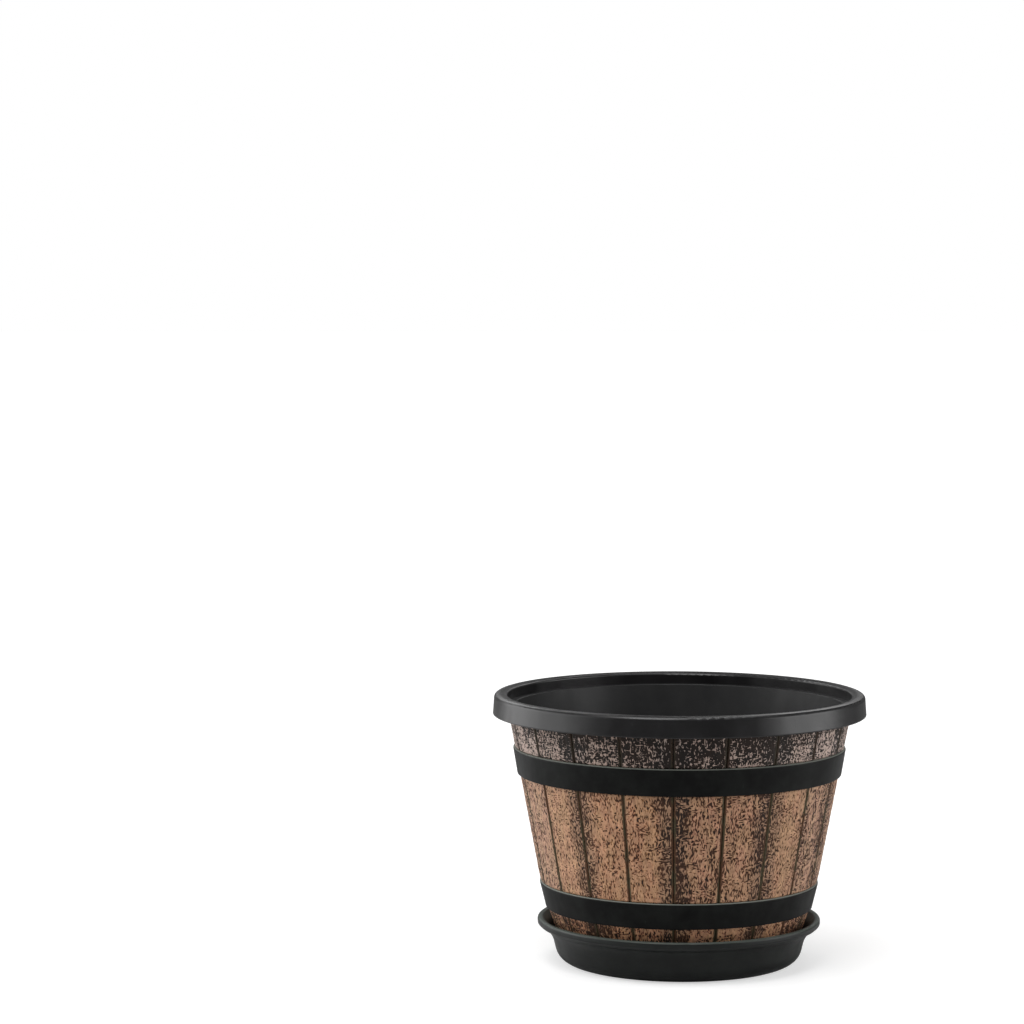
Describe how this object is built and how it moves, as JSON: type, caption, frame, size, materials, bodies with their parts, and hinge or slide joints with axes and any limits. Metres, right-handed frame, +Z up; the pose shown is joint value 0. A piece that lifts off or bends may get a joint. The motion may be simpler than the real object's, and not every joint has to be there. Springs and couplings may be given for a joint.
{
  "type": "whiskey barrel planter",
  "caption": "Round tapered planter dressed as a half barrel: wood-look staves and two black hoops round a black inner pot, a deep black rim, and a flared saucer that the pot lifts out of.",
  "frame": {"origin": "on the ground, on the pot's axis, at the middle of the saucer's underside", "axes": "+Z up along the pot's axis of symmetry; -Y is the side that faces the viewer in the picture, +X to the viewer's right"},
  "size_m": [0.3808, 0.3808, 0.276],
  "materials": {
    "saucer_black": "satin black resin with a faint green cast",
    "pot_black": "satin charcoal-black resin",
    "hoop_black": "matte black resin",
    "stave_print": "moulded wood grain, rubbed copper-brown over black"
  },
  "bodies": {
    "saucer": {"saucer": "saucer_black"},
    "pot": {"bucket": "pot_black", "rim": "pot_black", "upper_hoop": "hoop_black", "lower_hoop": "hoop_black", "stave_01": "stave_print", "stave_02": "stave_print", "stave_03": "stave_print", "stave_04": "stave_print", "stave_05": "stave_print", "stave_06": "stave_print", "stave_07": "stave_print", "stave_08": "stave_print", "stave_09": "stave_print", "stave_10": "stave_print", "stave_11": "stave_print", "stave_12": "stave_print", "stave_13": "stave_print", "stave_14": "stave_print", "stave_15": "stave_print", "stave_16": "stave_print", "stave_17": "stave_print", "stave_18": "stave_print", "stave_19": "stave_print", "stave_20": "stave_print"}
  },
  "joints": [
    {"name": "pot_lift", "type": "slide", "parent": "saucer", "child": "pot", "axis": [0, 0, 1], "range_m": [0, 0.1]}
  ]
}
